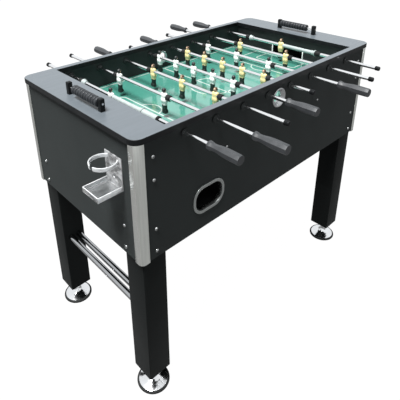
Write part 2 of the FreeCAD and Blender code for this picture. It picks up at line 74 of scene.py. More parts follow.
# camera: place, direction in degrees, lens and sensor in millimetres, shift in sensor widths
CAMERA_AT = (-1.0946, -1.0467, 1.4525)
CAMERA_YAW = -42.18
CAMERA_PITCH = -23.12
CAMERA_ROLL = -0.90
CAMERA_LENS = 39.51
CAMERA_SENSOR = 36
CAMERA_SHIFT = (0.0438, -0.2639)

# light: strength of the white surroundings as fill light and in reflections, and the overhead key light
WORLD_DIFFUSE = 0.18
FLOOR_DIFFUSE = 0.06
WORLD_MIRRORED = 1.0
FLOOR_MIRRORED = 0.30
SUN_FROM = (-0.33, 0.0, 1.0)
SUN_ENERGY = 7.6
SUN_ANGLE = 24
WORLD_TINT = (0.97, 0.985, 1.0, 1)
FLOOR_REACH = 14.0


# ---------------------------------------------------------------- shader helpers

# noise values below and above these count as its two ends
NOISE_LOW = 0.3
NOISE_HIGH = 0.7


class Shader:
    """One procedural material: colour, roughness and relief all come from object-space noise."""

    def __init__(self, name):
        self.material = bpy.data.materials.new(name)
        self.material.use_nodes = True
        self.tree = self.material.node_tree
        self.surface = self.tree.nodes["Principled BSDF"]
        self.coordinates = self.tree.nodes.new("ShaderNodeTexCoord").outputs["Object"]

    def set(self, **values):
        for key, value in values.items():
            self.surface.inputs[key.replace("_", " ")].default_value = value
        return self

    def noise(self, scale, stretch=(1, 1, 1), detail=3.0):
        mapping = self.tree.nodes.new("ShaderNodeMapping")
        mapping.inputs["Scale"].default_value = stretch
        self.tree.links.new(self.coordinates, mapping.inputs["Vector"])
        texture = self.tree.nodes.new("ShaderNodeTexNoise")
        texture.inputs["Scale"].default_value = scale
        texture.inputs["Detail"].default_value = detail
        self.tree.links.new(mapping.outputs["Vector"], texture.inputs["Vector"])
        return texture.outputs["Fac"]

    def color(self, factor, dark, light):
        ramp = self.tree.nodes.new("ShaderNodeValToRGB")
        ramp.color_ramp.elements[0].position = NOISE_LOW
        ramp.color_ramp.elements[1].position = NOISE_HIGH
        ramp.color_ramp.elements[0].color = (*dark, 1)
        ramp.color_ramp.elements[1].color = (*light, 1)
        self.tree.links.new(factor, ramp.inputs["Fac"])
        self.tree.links.new(ramp.outputs["Color"], self.surface.inputs["Base Color"])
        return self

    def vary(self, key, factor, low, high):
        spread = self.tree.nodes.new("ShaderNodeMapRange")
        spread.inputs["From Min"].default_value = NOISE_LOW
        spread.inputs["From Max"].default_value = NOISE_HIGH
        spread.inputs["To Min"].default_value = low
        spread.inputs["To Max"].default_value = high
        self.tree.links.new(factor, spread.inputs["Value"])
        self.tree.links.new(spread.outputs["Result"], self.surface.inputs[key])
        return self

    def roughness(self, factor, low, high):
        return self.vary("Roughness", factor, low, high)

    def relief(self, height, distance, strength):
        bump = self.tree.nodes.new("ShaderNodeBump")
        bump.inputs["Strength"].default_value = strength
        bump.inputs["Distance"].default_value = distance
        self.tree.links.new(height, bump.inputs["Height"])
        self.tree.links.new(bump.outputs["Normal"], self.surface.inputs["Normal"])
        return self


def laminate_black(name, shade):
    s = Shader(name)
    s.set(Specular_IOR_Level=0.03)
    dark = tuple(0.90 * c for c in shade)
    s.color(s.noise(5.0), dark, shade)
    s.roughness(s.noise(12.0), 0.34, 0.40)
    return s.relief(s.noise(1100.0), 0.04 * MM, 0.2).material


def laminate_grey():
    s = Shader("laminate_grey")
    s.set(Specular_IOR_Level=0.5)
    s.color(s.noise(7.0, (1.0, 16.0, 1.0), 8.0), (0.106, 0.123, 0.137), (0.117, 0.135, 0.151))
    s.roughness(s.noise(26.0, (1.0, 9.0, 1.0)), 0.32, 0.42)
    return s.relief(s.noise(160.0, (1.0, 14.0, 1.0)), 0.04 * MM, 0.2).material


def edge_band():
    s = Shader("edge_band_black")
    s.set(Specular_IOR_Level=0.15)
    s.color(s.noise(20.0), (0.006, 0.007, 0.008), (0.010, 0.011, 0.012))
    s.roughness(s.noise(60.0), 0.32, 0.45)
    return s.relief(s.noise(500.0), 0.04 * MM, 0.3).material


def field_green():
    s = Shader("playfield_green")
    s.set(Specular_IOR_Level=0.5, Coat_Weight=1.0, Coat_Roughness=0.05, Coat_IOR=1.5)
    s.color(s.noise(3.0, (1.0, 1.0, 1.0), 2.0), (0.054, 0.225, 0.174), (0.060, 0.240, 0.187))
    s.roughness(s.noise(40.0), 0.18, 0.26)
    return s.relief(s.noise(60.0), 0.01 * MM, 0.1).material


def line_white():
    s = Shader("field_line_white")
    s.set(Coat_Weight=1.0, Coat_Roughness=0.08)
    s.color(s.noise(90.0), (0.42, 0.50, 0.46), (0.48, 0.56, 0.52))
    s.roughness(s.noise(60.0), 0.25, 0.4)
    return s.relief(s.noise(600.0), 0.02 * MM, 0.2).material


def liner_black():
    s = Shader("liner_black")
    s.set(Specular_IOR_Level=0.3)
    s.color(s.noise(14.0, (1.0, 1.0, 6.0)), (0.010, 0.012, 0.012), (0.018, 0.020, 0.020))
    s.roughness(s.noise(40.0), 0.35, 0.5)
    return s.relief(s.noise(700.0), 0.05 * MM, 0.4).material


def polished(name, tint, low, high, stretch=(1.0, 1.0, 1.0)):
    s = Shader(name)
    s.set(Metallic=1.0)
    dark = tuple(0.9 * c for c in tint)
    s.color(s.noise(30.0, stretch), dark, tint)
    s.roughness(s.noise(50.0, stretch), low, high)
    return s.relief(s.noise(400.0, stretch), 0.01 * MM, 0.2).material


def aluminium():
    s = Shader("aluminium_satin")
    s.set(Metallic=1.0, Anisotropic=0.3)
    s.color(s.noise(220.0, (1.0, 1.0, 0.02)), (0.66, 0.68, 0.65), (0.76, 0.78, 0.745))
    s.roughness(s.noise(300.0, (1.0, 1.0, 0.015)), 0.30, 0.46)
    return s.relief(s.noise(900.0, (1.0, 1.0, 0.01)), 0.04 * MM, 0.4).material


def moulded(name, dark, light, low=0.35, high=0.5, grain=900.0, depth=0.04, specular=0.4):
    s = Shader(name)
    s.set(Specular_IOR_Level=specular)
    s.color(s.noise(60.0), dark, light)
    s.roughness(s.noise(120.0), low, high)
    return s.relief(s.noise(grain), depth * MM, 0.35).material


def rubber(name, dark, light):
    s = Shader(name)
    s.set(Specular_IOR_Level=0.12)
    s.color(s.noise(45.0), dark, light)
    s.roughness(s.noise(90.0), 0.55, 0.7)
    return s.relief(s.noise(1400.0), 0.08 * MM, 0.5).material


def clear_plastic(name, low, high):
    """Clear moulding whose cloudy streaks let between low and high of the light through."""
    s = Shader(name)
    s.set(IOR=1.49, Specular_IOR_Level=0.7, Coat_Weight=0.6, Coat_Roughness=0.04)
    s.color(s.noise(20.0), (0.90, 0.93, 0.95), (0.96, 0.97, 0.98))
    s.vary("Transmission Weight", s.noise(38.0, (1.0, 1.0, 1.6), 1.0), high, low)
    s.roughness(s.noise(25.0), 0.03, 0.10)
    return s.relief(s.noise(35.0), 0.15 * MM, 0.3).material


def studio_white(tree, target, mirrored, fill):
    """Strength 1 where it is seen, and its own strengths in reflections and as fill light."""
    path = tree.nodes.new("ShaderNodeLightPath")
    strength = None
    for ray, value in (("Is Glossy Ray", mirrored), ("Is Diffuse Ray", fill)):
        step = tree.nodes.new("ShaderNodeMath")
        step.operation = "MULTIPLY_ADD"
        tree.links.new(path.outputs[ray], step.inputs[0])
        step.inputs[1].default_value = value - 1.0
        step.inputs[2].default_value = 1.0
        if strength:
            tree.links.new(strength, step.inputs[2])
        strength = step.outputs[0]
    tree.links.new(strength, target)


def floor_white():
    s = Shader("studio_floor")
    s.set(Specular_IOR_Level=0.0, Emission_Color=(1.0, 1.0, 1.0, 1.0))
    s.color(s.noise(2.0), (0.018, 0.018, 0.018), (0.022, 0.022, 0.022))
    s.roughness(s.noise(5.0), 0.8, 0.9)
    studio_white(s.tree, s.surface.inputs["Emission Strength"], FLOOR_MIRRORED, FLOOR_DIFFUSE)
    return s.material


BLACK_LAMINATE = laminate_black("laminate_black", (0.043, 0.049, 0.049))
# painted shade: the legs are the same black laminate as the aprons, made about a third as light
LEG_LAMINATE_PAINTED_SHADE = laminate_black("leg_laminate_painted_shade", (0.0135, 0.0155, 0.0155))
GREY_LAMINATE = laminate_grey()
EDGE_BAND = edge_band()
FIELD = field_green()
LINES = line_white()
LINER = liner_black()
ROD_CHROME = polished("rod_chrome", (0.93, 0.94, 0.95), 0.10, 0.18, (1.0, 0.05, 1.0))
CHROME = polished("steel_chrome", (0.86, 0.87, 0.88), 0.08, 0.16)
# painted shade: the crossbars are the same chrome as the feet, with about half the tint
BAR_CHROME_PAINTED_SHADE = polished("bar_chrome_painted_shade", (0.46, 0.47, 0.48), 0.06, 0.12, (1.0, 0.05, 1.0))
ALUMINIUM = aluminium()
# painted reflection: a brighter, smoother copy of the profile aluminium, for the faces looking along X
ALUMINIUM_PAINTED_REFLECTION = polished("aluminium_painted_reflection", (0.92, 0.935, 0.90), 0.10, 0.18, (1.0, 1.0, 0.02))
BOLT_STEEL = polished("bolt_steel", (0.42, 0.43, 0.43), 0.18, 0.30)
SILVER = polished("silver_plastic", (0.50, 0.51, 0.52), 0.22, 0.34)
BEZEL_SILVER = polished("bezel_silver", (0.38, 0.40, 0.395), 0.24, 0.36)
SHIRT_WHITE = moulded("figure_white", (0.80, 0.82, 0.80), (0.90, 0.91, 0.89), 0.28, 0.42)
STOP_WHITE = moulded("stop_white", (0.34, 0.39, 0.385), (0.42, 0.47, 0.46), 0.28, 0.42)
SHIRT_YELLOW = moulded("figure_yellow", (0.72, 0.60, 0.27), (0.80, 0.69, 0.36), 0.28, 0.42)
HAIR_DARK = moulded(
    "figure_hair_dark", (0.012, 0.015, 0.015), (0.030, 0.034, 0.034), 0.30, 0.45, 500.0, 0.2)
HAIR_BROWN = moulded(
    "figure_hair_brown", (0.060, 0.035, 0.015), (0.115, 0.070, 0.030), 0.30, 0.45, 500.0, 0.2)
SKIN = moulded("figure_skin", (0.52, 0.34, 0.23), (0.60, 0.41, 0.29))
BOOT = moulded("figure_boot", (0.008, 0.014, 0.012), (0.016, 0.024, 0.020), 0.25, 0.4)
BLACK_PLASTIC = moulded("black_plastic", (0.007, 0.008, 0.009), (0.012, 0.013, 0.014), specular=0.10)
BEARING_PLASTIC = moulded("bearing_plastic", (0.022, 0.025, 0.025), (0.030, 0.034, 0.034), specular=0.10)
BEAD_PLASTIC = moulded(
    "counter_plastic", (0.017, 0.019, 0.022), (0.029, 0.032, 0.036), 0.26, 0.36, specular=0.3)
GRIP_RUBBER = moulded(
    "grip_rubber", (0.036, 0.039, 0.042), (0.046, 0.049, 0.053), 0.40, 0.50, 1400.0, specular=0.35)
BLACK_RUBBER = rubber("black_rubber", (0.010, 0.011, 0.011), (0.022, 0.023, 0.023))
CLEAR = clear_plastic("clear_plastic", 0.86, 0.98)
CLOUDY = clear_plastic("cloudy_plastic", 0.45, 0.95)
# frosted plastic for the rings, and as a painted highlight on the up-facing tray rim faces
FROSTED_AND_RIM_HIGHLIGHT = clear_plastic("frosted_plastic_and_rim_highlight", 0.30, 0.60)


# ---------------------------------------------------------------- mesh helpers

# the limit in degrees for hard edges, unless a piece has its own
HARD_EDGE = 35.0


class Soup:
    """Collects several closed shells, each with its material number, into one mesh."""

    def __init__(self):
        self.vertices = []
        self.faces = []
        self.groups = []

    def add(self, vertices, faces, group=0):
        start = len(self.vertices)
        self.vertices.extend(vertices)
        self.faces.extend(tuple(start + i for i in face) for face in faces)
        groups = group if isinstance(group, list) else [group] * len(faces)
        self.groups.extend(groups)
        return self

    def mesh(self, name, materials, sharp):
        """All the shells as one smooth mesh, whose edges over this many degrees stay hard."""
        mesh = bpy.data.meshes.new(name)
        mesh.from_pydata(self.vertices, [], self.faces)
        for material in materials:
            mesh.materials.append(material)
        mesh.polygons.foreach_set("material_index", self.groups)
        mesh.validate()
        mesh.shade_smooth()
        mesh.set_sharp_from_angle(angle=math.radians(sharp))
        return mesh

    def make(self, name, materials, body, slot, sharp=HARD_EDGE):
        obj = bpy.data.objects.new(name, self.mesh(name, materials, sharp))
        bpy.context.scene.collection.objects.link(obj)
        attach(obj, body)
        return obj


def tube(rings, closed=False):
    """Skins rings of equal count; closed joins the last to the first, otherwise both ends are capped."""
    count = len(rings[0])
    vertices = [v for ring in rings for v in ring]
    faces = []
    spans = len(rings) if closed else len(rings) - 1
    for i in range(spans):
        a = i * count
        b = ((i + 1) % len(rings)) * count
        for j in range(count):
            k = (j + 1) % count
            faces.append((a + j, a + k, b + k, b + j))
    if not closed:
        faces.append(tuple(reversed(range(count))))
        faces.append(tuple(range(len(vertices) - count, len(vertices))))
    return vertices, faces


def rounded(outline, radius, steps=3):
    """Replaces each inner corner of an open outline by a short curve."""
    out = [outline[0]]
    for before, corner, after in zip(outline, outline[1:], outline[2:]):
        p = Vector(corner)
        a = Vector(before) - p
        b = Vector(after) - p
        reach = min(radius, 0.45 * a.length, 0.45 * b.length)
        start = p + a.normalized() * reach
        end = p + b.normalized() * reach
        for i in range(steps + 1):
            t = i / steps
            q = start * (1 - t) ** 2 + p * 2 * t * (1 - t) + end * t * t
            out.append(tuple(q))
    out.append(outline[-1])
    return out


def turned(profile, axis, center, segments=32, shape=None, closed=False):
    """Turns (radius, height) points round an axis; shape(angle, radius) may bend the circle."""
    rings = []
    for radius, height in profile:
        ring = []
        for i in range(segments):
            angle = 2 * math.pi * i / segments
            r = shape(angle, radius) if shape else radius
            u = r * math.cos(angle)
            v = r * math.sin(angle)
            local = {"X": (height, u, v), "Y": (v, height, u), "Z": (u, v, height)}[axis]
            ring.append(tuple(Vector(local) + Vector(center)))
        rings.append(ring)
    return tube(rings, closed)


def polygon_radius(angle, radius, sides):
    """Distance from the middle of a regular polygon to its edge, with its corners at the given radius."""
    half = math.pi / sides
    sector = (angle + half) % (2 * half) - half
    return radius * math.cos(half) / math.cos(sector)


# points of a CAD mesh that fall together on this grid are one point
GRID_PER_METRE = 1e5


def solids(node):
    """Boxes of the separate solids of a CAD node, in order of their place."""
    mesh = frame["nodes"][node].data
    parent = {}

    def root(key):
        while parent[key] != key:
            parent[key] = parent[parent[key]]
            key = parent[key]
        return key

    keys = [tuple(round(c * GRID_PER_METRE) for c in v.co) for v in mesh.vertices]
    for key in keys:
        parent.setdefault(key, key)
    for polygon in mesh.polygons:
        first = root(keys[polygon.vertices[0]])
        for index in polygon.vertices[1:]:
            parent[root(keys[index])] = first
    groups = {}
    for key, vertex in zip(keys, mesh.vertices):
        groups.setdefault(root(key), []).append(vertex.co)
    boxes = []
    for points in groups.values():
        low = Vector([min(p[i] for p in points) for i in range(3)])
        high = Vector([max(p[i] for p in points) for i in range(3)])
        boxes.append((low, high))
    return sorted(boxes, key=lambda b: (round(b[0].y, 4), round(b[0].x, 4), round(b[0].z, 4)))


def middle(box):
    return (box[0] + box[1]) / 2


# a face looks along an axis when that part of its normal is over this
SQUARE_ON = 0.9


def paint(node, material):
    mesh = frame["nodes"][node].data
    mesh.materials.clear()
    mesh.materials.append(material)
    mesh.polygons.foreach_set("material_index", [0] * len(mesh.polygons))


def paint_sides(node, material, side_material):
    """One material for the faces that look up and another for the rest."""
    paint(node, material)
    mesh = frame["nodes"][node].data
    mesh.materials.append(side_material)
    for polygon in mesh.polygons:
        polygon.material_index = 0 if polygon.normal.z > SQUARE_ON else 1


# eased copies: distance of points that are welded, and angles within which faces count as one flat face
# and above which an edge is eased
WELD_DISTANCE = 0.01 * MM
FLAT_ANGLE = math.radians(0.5)
EASED_ANGLE = math.radians(32)


def eased_copy(node, material, body, width):
    """A copy of a CAD node with its flat faces cleaned up and its edges eased, standing for that node."""
    name = node + "_eased"
    source = frame["nodes"][node]
    mesh = source.data.copy()
    mesh.name = name
    mesh.materials.clear()
    mesh.materials.append(material)
    obj = bpy.data.objects.new(name, mesh)
    bpy.context.scene.collection.objects.link(obj)
    weld = obj.modifiers.new("weld", "WELD")
    weld.merge_threshold = WELD_DISTANCE
    planar = obj.modifiers.new("planar", "DECIMATE")
    planar.decimate_type = "DISSOLVE"
    planar.angle_limit = FLAT_ANGLE
    bevel = obj.modifiers.new("bevel", "BEVEL")
    bevel.width = width
    bevel.segments = 2
    bevel.limit_method = "ANGLE"
    bevel.angle_limit = EASED_ANGLE
    bevel.use_clamp_overlap = True
    depsgraph = bpy.context.evaluated_depsgraph_get()
    result = bpy.data.meshes.new_from_object(obj.evaluated_get(depsgraph))
    obj.modifiers.clear()
    obj.data = result
    result.shade_smooth()
    result.set_sharp_from_angle(angle=math.radians(HARD_EDGE))
    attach(obj, body)
    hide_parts(node)
    return obj


# ---------------------------------------------------------------- carried-over CAD nodes

def dress_cabinet():
    for node in ("front_apron", "rear_apron", "left_end_apron", "right_end_apron"):
        paint(node, BLACK_LAMINATE)
    for node in ("top_side_rails", "top_end_decks"):
        paint_sides(node, GREY_LAMINATE, EDGE_BAND)
    paint_sides("playfield", FIELD, LINER)
    for node in ("playfield_bearers", "inner_end_walls", "goal_boxes"):
        paint(node, LINER)
    paint("ball_return_scoops", BLACK_PLASTIC)
    # the crossbars take the darkened chrome copy as painted shade
    paint("leg_crossbars", BAR_CHROME_PAINTED_SHADE)
    paint("scorer_rods", CHROME)
    for number in RODS:
        paint("rod_%d" % number, ROD_CHROME)


def ease_edges():
    # the legs take the darker laminate copy as painted shade
    eased_copy("legs", LEG_LAMINATE_PAINTED_SHADE, "cabinet", 0.8 * MM)
    eased_copy("goal_posts", SHIRT_WHITE, "cabinet", 0.4 * MM)
    eased_copy("scorer_posts", BLACK_PLASTIC, "cabinet", 0.7 * MM)
    profiles = eased_copy("corner_profiles", ALUMINIUM, "cabinet", 0.5 * MM)
    # painted reflection: the profile faces looking along X take the brighter aluminium, the rest the satin
    # one
    profiles.data.materials.append(ALUMINIUM_PAINTED_REFLECTION)
    for polygon in profiles.data.polygons:
        polygon.material_index = 1 if abs(polygon.normal.x) > SQUARE_ON else 0
    eased_copy("rod_bearings", BEARING_PLASTIC, "cabinet", 0.6 * MM)
    eased_copy("ball_return_bezels", BEZEL_SILVER, "cabinet", 1.4 * MM)


# cup holders: height of the tray, depth of the rim band painted with a highlight, least height of the ring
# above the tray, and how near the end apron a face of the back plate lies
TRAY_HEIGHT = 15 * MM
RIM_HIGHLIGHT_DEPTH = 1.5 * MM
RING_ABOVE_TRAY = 5 * MM
BACK_PLATE_REACH = 4 * MM


def cup_holders():
    """Clear trays, cloudy back plates and frosted rings, with frosted plastic on the tray rim tops as a
    painted highlight.
    """
    plate = abs(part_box("left_end_apron")[0].x) + BACK_PLATE_REACH
    tray_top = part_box("cup_holders")[0].z + TRAY_HEIGHT
    obj = eased_copy("cup_holders", CLEAR, "cabinet", 0.6 * MM)
    obj.data.materials.append(CLOUDY)
    obj.data.materials.append(FROSTED_AND_RIM_HIGHLIGHT)
    for polygon in obj.data.polygons:
        center = polygon.center
        # painted highlight: the up-facing faces at the top of the tray rim get the whiter frosted plastic
        rim = polygon.normal.z > 0.5 and center.z > tray_top - RIM_HIGHLIGHT_DEPTH
        if abs(center.x) < plate:
            polygon.material_index = 1
        elif center.z > tray_top + RING_ABOVE_TRAY or rim:
            polygon.material_index = 2


# ---------------------------------------------------------------- playfield markings

LINE_WIDTH = 5.0 * MM
LINE_HALF_THICKNESS = 0.25 * MM
ARC_STEP = math.radians(6)
BORDER_INSET = 14 * MM
CIRCLE_RADIUS = 78 * MM
CORNER_RADIUS = 34 * MM
CENTER_SPOT_RADIUS = 5 * MM
GOAL_SPOT_RADIUS = 4 * MM
GOAL_SPOT_FROM_END = 140 * MM
# depth, half width and corner radius of the areas in front of a goal
LARGE_AREA = (180 * MM, 152 * MM, 24 * MM)
SMALL_AREA = (94 * MM, 97 * MM, 14 * MM)
# distance of its middle from the end, radius and half angle of the arc on the large area
AREA_ARC_FROM_END = 170 * MM
AREA_ARC_RADIUS = 46 * MM
AREA_ARC_HALF_ANGLE = math.radians(74)


def ribbon(path, closed=False):
    """A thin flat strip that follows points in the plane of the field."""
    rings = []
    count = len(path)
    for i, point in enumerate(path):
        before = path[(i - 1) % count] if closed or i > 0 else point
        after = path[(i + 1) % count] if closed or i < count - 1 else point
        along = (Vector(after) - Vector(before)).normalized()
        side = Vector((-along.y, along.x)) * (LINE_WIDTH / 2)
        left = Vector(point) + side
        right = Vector(point) - side
        low = FIELD_TOP - LINE_HALF_THICKNESS
        high = FIELD_TOP + LINE_HALF_THICKNESS
        rings.append([(left.x, left.y, low), (right.x, right.y, low),
                      (right.x, right.y, high), (left.x, left.y, high)])
    return tube(rings, closed)


def arc(cx, cy, radius, start, stop):
    steps = max(2, round(abs(stop - start) / ARC_STEP))
    angles = [start + (stop - start) * i / steps for i in range(steps + 1)]
    return [(cx + radius * math.cos(a), cy + radius * math.sin(a)) for a in angles]


def area_path(depth, half, corner):
    """Outline of an area in front of the -X goal, open towards the end wall."""
    x0 = -FIELD_END
    x1 = x0 + depth
    path = [(x0, half)]
    path += arc(x1 - corner, half - corner, corner, math.pi / 2, 0)
    path += arc(x1 - corner, -half + corner, corner, 0, -math.pi / 2)
    path.append((x0, -half))
    return path


def spot(x, radius, segments):
    """A round mark on the middle line of the field."""
    profile = [(radius, -LINE_HALF_THICKNESS), (radius, LINE_HALF_THICKNESS)]
    return turned(profile, "Z", (x, 0, FIELD_TOP), segments)


def field_lines():
    soup = Soup()
    side = FIELD_SIDE - BORDER_INSET
    end = FIELD_END - BORDER_INSET
    soup.add(*ribbon([(0, -side), (0, side)]))
    soup.add(*ribbon(arc(0, 0, CIRCLE_RADIUS, 0, 2 * math.pi)[:-1], closed=True))
    soup.add(*spot(0, CENTER_SPOT_RADIUS, 24))
    border = [(-end, -side), (end, -side), (end, side), (-end, side)]
    for a, b in zip(border, border[1:] + border[:1]):
        soup.add(*ribbon([a, b]))
    arc_middle = -FIELD_END + AREA_ARC_FROM_END
    paths = [
        area_path(*LARGE_AREA),
        area_path(*SMALL_AREA),
        arc(arc_middle, 0, AREA_ARC_RADIUS, AREA_ARC_HALF_ANGLE, -AREA_ARC_HALF_ANGLE),
        arc(-end, -side, CORNER_RADIUS, 0, math.pi / 2),
        arc(-end, side, CORNER_RADIUS, 0, -math.pi / 2),
    ]
    for path in paths:
        soup.add(*ribbon(path))
        soup.add(*ribbon([(-x, -y) for x, y in path]))
    for sign in (-1, 1):
        soup.add(*spot(sign * (FIELD_END - GOAL_SPOT_FROM_END), GOAL_SPOT_RADIUS, 20))
    soup.make("field_markings", [LINES], "cabinet", "white_plastic")


# ---------------------------------------------------------------- fasteners, entry cups, feet

def hexagonal(limit):
    """A shape for turning: round outside the limit and six-sided within it."""
    def shape(angle, radius):
        return radius if radius > limit else polygon_radius(angle, radius, 6)
    return shape


def fasteners():
    """Domed bolt heads with a hexagonal socket, each looking away from the middle of the table."""
    soup = Soup()
    for low, high in solids("fasteners"):
        size = high - low
        axis = min(range(3), key=lambda i: size[i])
        radius = max(size) / 2
        height = size[axis]
        center = middle((low, high))
        outward = 1 if center[axis] > 0 else -1
        base = low[axis] if outward > 0 else high[axis]
        socket = 0.38 * radius
        outline = [
            (0.2 * MM, 0.35 * height), (socket, 0.35 * height), (socket, height * 0.98),
            (socket * 1.15, height), (0.72 * radius, 0.80 * height), (0.95 * radius, 0.42 * height),
            (radius, 0.2 * height), (radius, 0.0),
        ]
        outline = rounded(outline, 0.1 * radius, 2)
        profile = [(r, base + outward * h) for r, h in outline]
        if outward > 0:
            profile.reverse()
        place = [center.x, center.y, center.z]
        place[axis] = 0.0
        soup.add(*turned(profile, "XYZ"[axis], place, 24, hexagonal(socket * 1.05)))
    obj = soup.make("fasteners_detailed", [BOLT_STEEL], "cabinet", "steel_chrome", 30.0)
    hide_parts("fasteners")


ENTRY_FLANGE = 4 * MM


def entry_cups():
    """Flanged funnels for the ball in the middle of both long sides."""
    soup = Soup()
    for low, high in solids("ball_entry_cups"):
        side = 1 if middle((low, high)).y > 0 else -1
        face = max(abs(low.y), abs(high.y)) - ENTRY_FLANGE
        back = min(abs(low.y), abs(high.y))
        radius = (high.x - low.x) / 2
        z = middle((low, high)).z
        outline = [
            (radius, face), (radius, face + 2.2 * MM), (radius - 1.5 * MM, face + 3.9 * MM),
            (radius - 4.5 * MM, face + ENTRY_FLANGE), (radius - 7 * MM, face + 1 * MM),
            (radius - 10 * MM, face - 3 * MM), (radius - 13 * MM, face - 6.5 * MM),
            (radius - 13.6 * MM, back), (radius - 6.2 * MM, back), (radius - 6.2 * MM, face - 0.2 * MM),
        ]
        outline = rounded(outline + outline[:1], 1.2 * MM, 3)[:-1]
        profile = [(r, side * y) for r, y in outline]
        if side > 0:
            profile.reverse()
        soup.add(*turned(profile, "Y", (0, 0, z), 48, closed=True))
    obj = soup.make("ball_entry_cups_detailed", [SILVER], "cabinet", "silver_plastic", 40.0)
    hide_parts("ball_entry_cups")


# levelling feet: gap under the leg, top and width of the rubber rim, thickness of the sole
FOOT_GAP = 0.4 * MM
FOOT_RIM_TOP = 10.2 * MM
FOOT_RIM_WIDTH = 6.3 * MM
FOOT_SOLE = 0.4 * MM


def levelling_foot(node):
    """A chrome foot with a black rubber rim and sole, its neck, nut and screw."""
    low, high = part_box(node)
    center = middle((low, high))
    radius = (high.x - low.x) / 2
    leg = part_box("legs")[0].z - FOOT_GAP
    outline = [
        (0.5 * MM, 0.0), (radius - 3 * MM, 0.0), (radius - 1 * MM, 0.8 * MM), (radius, 2.6 * MM),
        (radius, 6.8 * MM), (radius - 1.2 * MM, 8.6 * MM), (radius - 3.4 * MM, 9.2 * MM),
        (radius - 4.2 * MM, 9.0 * MM), (radius - 6.2 * MM, 9.8 * MM), (radius - 20 * MM, 14.2 * MM),
        (24 * MM, 18.0 * MM), (16 * MM, 22.0 * MM), (12 * MM, 27 * MM), (8.6 * MM, 34 * MM),
        (8 * MM, leg - 10.6 * MM),
        (12.4 * MM, leg - 10.4 * MM), (13 * MM, leg - 9.6 * MM), (13 * MM, leg - 0.9 * MM),
        (12.4 * MM, leg), (5 * MM, leg), (5 * MM, high.z - 1 * MM), (4 * MM, high.z),
    ]
    profile = rounded(outline, 1.6 * MM, 3)
    vertices, faces = turned(profile, "Z", (center.x, center.y, 0), 48)
    groups = []
    for face in faces:
        height = sum(vertices[i][2] for i in face) / len(face)
        across = max(math.hypot(vertices[i][0] - center.x, vertices[i][1] - center.y) for i in face)
        rim = height < FOOT_RIM_TOP and across > radius - FOOT_RIM_WIDTH
        groups.append(1 if rim or height < FOOT_SOLE else 0)
    soup = Soup().add(vertices, faces, groups)
    body = [b for b, empty in frame["bodies"].items() if frame["nodes"][node].parent == empty][0]
    obj = soup.make(node + "_detailed", [CHROME, BLACK_RUBBER], body, "steel_chrome", 40.0)
    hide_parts(node)


# ---------------------------------------------------------------- score counters

BEAD_BORE = 3.06 * MM


def counter_beads(side):
    """A row of waisted counters that slides as one."""
    node = "scorer_beads_" + side
    soup = Soup()
    for low, high in solids(node):
        center = middle((low, high))
        radius = (high.x - low.x) / 2
        y0 = low.y
        y1 = high.y
        outline = [
            (BEAD_BORE, y0), (radius - 3.0 * MM, y0), (radius - 0.6 * MM, y0 + 1.6 * MM),
            (radius, y0 + 3.0 * MM), (radius - 0.9 * MM, (y0 + y1) / 2), (radius, y1 - 3.0 * MM),
            (radius - 0.6 * MM, y1 - 1.6 * MM), (radius - 3.0 * MM, y1), (BEAD_BORE, y1),
        ]
        profile = rounded(outline, 1.0 * MM, 2)
        soup.add(*turned(profile, "Y", (center.x, 0, center.z), 28, closed=True))
    obj = soup.make("score_beads_row_" + side, [BEAD_PLASTIC], "score_beads_" + side, "black_plastic", 50.0)
    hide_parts(node)


# ---------------------------------------------------------------- player rods

# radius and distance from the rod side of the handle's corners, in millimetres
HANDLE_OUTLINE = [
    (ROD_RADIUS / MM, 0.0), (11.0, 0.0), (12.2, 0.9), (12.8, 2.4), (12.8, 9.0), (12.0, 11.0),
    (10.9, 14.0), (10.4, 18.0), (10.5, 25.0), (11.2, 32.0), (12.4, 40.0), (13.3, 48.0), (13.9, 56.0),
    (14.2, 66.0), (14.2, 78.0), (14.0, 90.0), (13.7, 102.4), (13.3, 103.6), (12.6, 104.0), (0.3, 104.0),
]
HANDLE_LENGTH = HANDLE_OUTLINE[-1][1]
CAP_RIBS = 4
CAP_RIB_PITCH = 2.6 * MM
CAP_RIB_DEPTH = 0.45 * MM
BUMPER_BORE = 6.41 * MM
BUMPER_GROOVE_PITCH = 5 * MM
BUMPER_GROOVE_DEPTH = 0.8 * MM
# a fitting shorter and wider than these is a flared stop
STOP_MAX_LENGTH = 30 * MM
STOP_MIN_RADIUS = 10 * MM


def octagonal(angle, radius):
    return polygon_radius(angle, radius, 8)


def along_rod(outline, low, high, direction):
    """Moves an outline measured from the near end of a solid to its place, in order of rising Y."""
    start = low.y if direction > 0 else high.y
    profile = [(r, start + direction * h) for r, h in outline]
    return profile if direction > 0 else profile[::-1]


def handle(low, high, x, z, hand, name, body):
    """Eight-sided grip from the collar at the rod side to the flat outer end."""
    stretch = (high.y - low.y) / HANDLE_LENGTH
    outline = [(r * MM, along * stretch) for r, along in HANDLE_OUTLINE]
    profile = along_rod(outline, low, high, hand)
    grip = Soup().add(*turned(profile, "Y", (x, 0, z), 48, octagonal))
    return grip.make(name, [GRIP_RUBBER], body, "grip_grey", 28.0)


def end_cap(low, high, x, z, hand, name, body):
    """Ribbed cap on the far end of the rod."""
    length = high.y - low.y
    radius = (high.x - low.x) / 2
    outline = [(ROD_RADIUS, 0.0), (radius - 0.5 * MM, 0.0), (radius, 0.8 * MM)]
    for i in range(CAP_RIBS):
        at = CAP_RIB_PITCH * (i + 1)
        outline += [(radius, at), (radius - CAP_RIB_DEPTH, at + 0.5 * MM), (radius, at + 1.0 * MM)]
    outline += [(radius, length - 3 * MM), (radius - 1.4 * MM, length - 0.8 * MM),
                (radius - 4 * MM, length), (0.3 * MM, length)]
    profile = along_rod(outline, low, high, hand)
    cap = Soup().add(*turned(profile, "Y", (x, 0, z), 32))
    return cap.make(name, [BLACK_PLASTIC], body, "black_plastic", 40.0)


